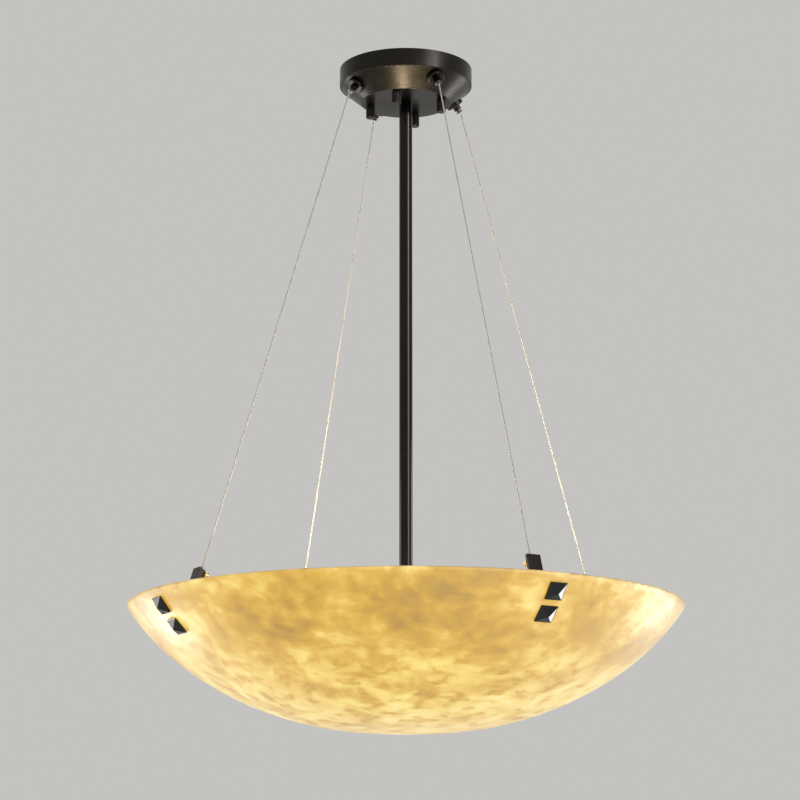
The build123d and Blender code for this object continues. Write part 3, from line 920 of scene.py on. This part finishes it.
@dataclass
class Cables(SubAssembly):
    """Four taut cables of twisted strands, each with a crimped ferrule at its foot."""

    diameter: float = 1.6 * MM
    lay: float = 11.0 * MM
    strands: int = 6
    sides: int = 8
    steps: int = 12
    wires_across: int = 3
    core_swell: float = 1.2
    settling: int = 8

    def build(self) -> None:
        """Makes the strands of each cable and dresses the other pieces."""
        for number, azimuth in zip(CORNERS, CABLE_AZIMUTHS):
            self.twist(f"cable_{number}", f"cable_ferrule_{number}", azimuth)
        self.dress_all("cable_steel", self.each("cable_ferrule"))
        self.dress_all("cable_steel", ["cable_ends"], 0)

    def ends(self, node: str, azimuth: float) -> tuple[Vector, Vector]:
        """Finds the two ends of a cable's centre line from its node's box.

        Args:
            node: The cable's CAD node.
            azimuth: The upright plane that it hangs in, in degrees.

        Returns:
            The upper end and the lower end.
        """
        low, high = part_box(node)
        out = Vector((math.cos(math.radians(azimuth)), math.sin(math.radians(azimuth)), 0.0))
        near, far = sorted(abs(corner.dot(out)) for corner in (low, high))
        radius = self.diameter / 2
        lean = 0.0
        for _ in range(self.settling):
            run = far - near - self.diameter * math.cos(lean)
            drop = high.z - low.z - self.diameter * math.sin(lean)
            lean = math.atan2(run, drop)
        level, rise = radius * math.cos(lean), radius * math.sin(lean)
        top = out * (near + level) + Vector((0.0, 0.0, high.z - rise))
        foot = out * (far - level) + Vector((0.0, 0.0, low.z + rise))
        return top, foot

    def strand(
        self, centres: np.ndarray, turns: np.ndarray, axes: np.ndarray, middle: bool
    ) -> np.ndarray:
        """Places the points of one strand of wire.

        Args:
            centres: Points along the cable's centre line.
            turns: The strand's angle round the cable at each of them.
            axes: The cable's direction and two directions square to it, as rows.
            middle: Whether this is the straight strand in the middle.

        Returns:
            The strand's points, ring after ring.
        """
        wire = self.diameter / (2 * self.wires_across)
        circle = 0.0 if middle else 2 * wire
        radius = wire * self.core_swell if middle else wire
        along, side, other = axes
        outward = np.outer(np.cos(turns), side) + np.outer(np.sin(turns), other)
        sideways = np.outer(-np.sin(turns), side) + np.outer(np.cos(turns), other)
        heading = along + circle * 2 * np.pi / self.lay * sideways
        heading /= np.linalg.norm(heading, axis=1)[:, None]
        up = np.cross(heading, outward)
        up /= np.linalg.norm(up, axis=1)[:, None]
        flat = np.cross(up, heading)
        angles = 2 * np.pi * np.arange(self.sides)[None, :, None] / self.sides
        hub = (centres + circle * outward)[:, None, :]
        spokes = np.cos(angles) * flat[:, None, :] + np.sin(angles) * up[:, None, :]
        return (hub + radius * spokes).reshape(-1, 3)

    def twist(self, node: str, ferrule: str, azimuth: float) -> None:
        """Args:
            node: The cable's CAD node.
            ferrule: Its ferrule's CAD node; not used.
            azimuth: The upright plane that it hangs in, in degrees.
        """
        top, foot = self.ends(node, azimuth)
        points = Route(top, foot).curve_points(f"{node}_route")
        gaps = np.linalg.norm(np.diff(points, axis=0), axis=1)
        travelled = np.concatenate([[0.0], np.cumsum(gaps)])
        length = float(travelled[-1])
        marks = np.linspace(0.0, length, int(length / self.lay * self.steps))
        spread = [np.interp(marks, travelled, points[:, axis]) for axis in range(3)]
        centres = np.stack(spread, axis=1)
        along = (foot - top).normalized()
        side = along.orthogonal().normalized()
        axes = np.array([along, side, along.cross(side)])
        lots, faces = [], []
        for index in range(self.strands + 1):
            turns = 2 * np.pi * (marks / self.lay + index / self.strands)
            faces += tube_faces(len(marks), self.sides, index * len(marks) * self.sides)
            lots.append(self.strand(centres, turns, axes, index == self.strands))
        steel = self.finishes["cable_steel"]
        piece = add_mesh(f"{node}_strands", np.concatenate(lots), faces, steel)
        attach(piece, node)
        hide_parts(node)
        LOG.info("twisted %s, %.0f mm long", node, length / MM)


@dataclass
class StoneBowl(SubAssembly):
    """The translucent bowl."""

    def build(self) -> None:
        """Dresses the bowl."""
        self.dress_all("alabaster", ["bowl"], 0)


@dataclass
class BowlFittings(SubAssembly):
    """The brackets on the rim with their cable stops, and the studs through the wall."""

    bracket_edge: float = 0.3 * MM
    stud_edge: float = 0.15 * MM

    def build(self) -> None:
        """Dresses the fittings."""
        self.dress_all("bronze_flat", [*self.each("bracket"), "cable_stops"], self.bracket_edge)
        self.dress_all("turned_brass", ["stop_screws"], self.fine_edge)
        self.dress_all("stud_plate", ["pyramid_studs"], self.stud_edge)
        self.dress_all("pad_rubber", ["outer_pads", "inner_pads"], 0)
        self.dress_all("zinc_plate", ["stud_washers", "stud_nuts"], self.stud_edge)


@dataclass
class LampCluster(SubAssembly):
    """The hub at the stem's foot with its four lamps."""

    holder_edge: float = 0.5 * MM

    def build(self) -> None:
        """Dresses the cluster."""
        self.dress_all("bronze_turned", ["cluster_hub", "cluster_lid", "cluster_finial"])
        self.dress_all("bronze_flat", ["lamp_arms"])
        self.dress_all("zinc_plate", ["cluster_nipple"])
        self.dress_all("lamp_shell", ["lamp_bases"])
        self.dress_all("porcelain", self.each("lamp_holder"), self.holder_edge)
        self.dress_all("frosted_lamp_glass", self.each("lamp_glass"), 0)


# ---------------------------------------------------------------- studio


@dataclass(frozen=True)
class SoftBox:
    """A soft studio light that faces a height on the centre line."""

    name: str
    azimuth: float
    height: float
    distance: float
    width: float
    tall: float
    power: float
    aim: float = -0.69
    colour: Colour = (1.0, 1.0, 1.0)

    def hang(self, facing: float) -> None:
        """Hangs the light.

        Args:
            facing: The camera's own azimuth, which the light's is measured from, in degrees.
        """
        data = bpy.data.lights.new(self.name, "AREA")
        data.shape = "RECTANGLE"
        data.size, data.size_y = self.width, self.tall
        data.energy = self.power
        data.color = self.colour
        lamp = bpy.data.objects.new(self.name, data)
        turn = math.radians(self.azimuth + facing)
        aside, ahead = self.distance * math.sin(turn), self.distance * math.cos(turn)
        lamp.location = (aside, -ahead, self.height)
        ray = Vector((0.0, 0.0, self.aim)) - lamp.location
        lamp.rotation_mode = "QUATERNION"
        lamp.rotation_quaternion = ray.to_track_quat("-Z", "Y")
        bpy.context.scene.collection.objects.link(lamp)


@dataclass(frozen=True)
class LampGlow:
    """The warm light that the four lamps throw up onto the stem and the canopy."""

    height: float = -0.610
    reach: float = 0.150
    radius: float = 0.05
    power: float = 1.15
    colour: Colour = (1.0, 0.84, 0.60)

    def hang(self) -> None:
        """Lays a light over each lamp, facing up."""
        for number, azimuth in zip(CORNERS, LAMP_AZIMUTHS):
            turn = math.radians(azimuth)
            data = bpy.data.lights.new(f"lamp_glow_{number}", "AREA")
            data.shape = "DISK"
            data.size = 2 * self.radius
            data.energy = self.power
            data.color = self.colour
            lamp = bpy.data.objects.new(f"lamp_glow_{number}", data)
            x, y = self.reach * math.cos(turn), self.reach * math.sin(turn)
            lamp.location = (x, y, self.height)
            lamp.rotation_euler.x = math.pi
            bpy.context.scene.collection.objects.link(lamp)


@dataclass(frozen=True)
class Studio:
    """The camera of the photograph, soft lights, a pale world and a pale floor."""

    camera_azimuth: float = -30.36
    camera_distance: float = 2.745
    camera_height: float = -0.992
    camera_aside: float = -0.0066
    camera_pitch: float = 12.39
    focal_pixels: float = 2507.0
    picture_pixels: float = 800.0
    sensor: float = 36.0
    clip: tuple[float, float] = (0.05, 60.0)
    floor_z: float = -3.4
    floor_radius: float = 14.0
    floor_sides: int = 96
    floor_roughness: float = 0.8
    floor_patches: float = 0.8
    floor_tone: Colour = (0.74, 0.735, 0.72)
    floor_patch_tone: Colour = (0.78, 0.775, 0.76)
    floor_lift: Colour = (1.0, 0.99, 0.965)
    floor_pale: float = 0.34
    ambient: float = 0.17
    white: Colour = (1.0, 1.0, 1.0)
    pale: Colour = (0.55, 0.545, 0.53)
    boxes: tuple[SoftBox, ...] = (
        SoftBox("side_right", 116.0, -0.70, 2.3, width=1.2, tall=1.4, power=20.0),
        SoftBox("side_left", -106.0, -0.80, 2.3, width=1.4, tall=1.5, power=18.0),
        SoftBox("glint_right", 136.6, -1.28, 2.31, width=0.5, tall=0.5, power=5.5),
        SoftBox("glint_left", -137.0, -1.44, 2.3, width=0.42, tall=0.6, power=9.0, aim=-0.03),
        SoftBox("ring_strip", 52.0, 0.95, 3.0, width=0.20, tall=0.7, power=6.0, aim=-0.10),
        SoftBox("stem_strip", 46.0, 0.35, 3.0, width=1.2, tall=1.4, power=30.0, aim=-0.30),
    )

    def camera(self) -> None:
        """Places the camera where the photograph was taken from."""
        turn, pitch = math.radians(self.camera_azimuth), math.radians(self.camera_pitch)
        right = Vector((math.cos(turn), math.sin(turn), 0.0))
        ahead = Vector((-math.sin(turn), math.cos(turn), 0.0))
        data = bpy.data.cameras.new("camera")
        data.sensor_width = self.sensor
        data.lens = self.focal_pixels / self.picture_pixels * self.sensor
        data.clip_start, data.clip_end = self.clip
        camera = bpy.data.objects.new("camera", data)
        camera.location = right * self.camera_aside - ahead * self.camera_distance
        camera.location.z = self.camera_height
        look = ahead * math.cos(pitch) + Vector((0.0, 0.0, math.sin(pitch)))
        camera.rotation_mode = "QUATERNION"
        camera.rotation_quaternion = look.to_track_quat("-Z", "Y")
        bpy.context.scene.collection.objects.link(camera)
        bpy.context.scene.camera = camera
        bpy.context.scene.view_settings.view_transform = "Standard"

    @staticmethod
    def seen(tree: bpy.types.NodeTree) -> Socket:
        """Tells what the camera, gloss and glass see from what only lights the object.

        Args:
            tree: The node tree to add to.

        Returns:
            1 for camera, glossy and transmission rays, else 0.
        """
        rays = tree.nodes.new("ShaderNodeLightPath").outputs
        result = rays["Is Camera Ray"]
        for name in ("Is Glossy Ray", "Is Transmission Ray"):
            either = tree.nodes.new("ShaderNodeMath")
            either.operation = "MAXIMUM"
            tree.links.new(result, either.inputs[0])
            tree.links.new(rays[name], either.inputs[1])
            result = either.outputs[0]
        return result

    def world(self) -> None:
        """Makes an even ambient light, and a pale backdrop for the camera, gloss and glass."""
        world = bpy.data.worlds.new("studio")
        world.use_nodes = True
        tree = world.node_tree
        tree.nodes.clear()
        mix = tree.nodes.new("ShaderNodeMixShader")
        tree.links.new(self.seen(tree), mix.inputs[0])
        skies = ((self.white, self.ambient), (self.pale, 1.0))
        for index, (colour, strength) in enumerate(skies, start=1):
            shader = tree.nodes.new("ShaderNodeBackground")
            shader.inputs["Color"].default_value = (*colour, 1.0)
            shader.inputs["Strength"].default_value = strength
            tree.links.new(shader.outputs[0], mix.inputs[index])
        output = tree.nodes.new("ShaderNodeOutputWorld")
        tree.links.new(mix.outputs[0], output.inputs["Surface"])
        bpy.context.scene.world = world

    def floor(self) -> None:
        """Lays a plain pale floor under the light."""
        mesh = bpy.data.meshes.new("studio_floor")
        shape = bmesh.new()
        bmesh.ops.create_circle(
            shape, cap_ends=True, radius=self.floor_radius, segments=self.floor_sides
        )
        shape.to_mesh(mesh)
        shape.free()
        bench = Bench("pale_floor")
        bench.set(
            Base_Color=bench.mix(
                bench.noise(self.floor_patches), self.floor_tone, self.floor_patch_tone
            ),
            Roughness=self.floor_roughness,
            Emission_Color=self.floor_lift,
            Emission_Strength=bench.times(self.seen(bench.tree), self.floor_pale),
        )
        mesh.materials.append(bench.material)
        floor = bpy.data.objects.new("studio_floor", mesh)
        floor.location.z = self.floor_z
        bpy.context.scene.collection.objects.link(floor)

    def set_up(self) -> None:
        """Hangs the lights and makes the world and floor."""
        for box in self.boxes:
            box.hang(self.camera_azimuth)
        LampGlow().hang()
        self.world()
        self.floor()


def main() -> None:
    """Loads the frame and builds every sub-assembly in order."""
    FRAME.update(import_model())
    studio = Studio()
    studio.camera()
    finishes = Finishes()
    for kind in (Cables, Canopy, Stem, StoneBowl, BowlFittings, LampCluster):
        kind(finishes).build()
        LOG.info("built %s", kind.__name__)
    studio.set_up()


if __name__ == "__main__":
    main()
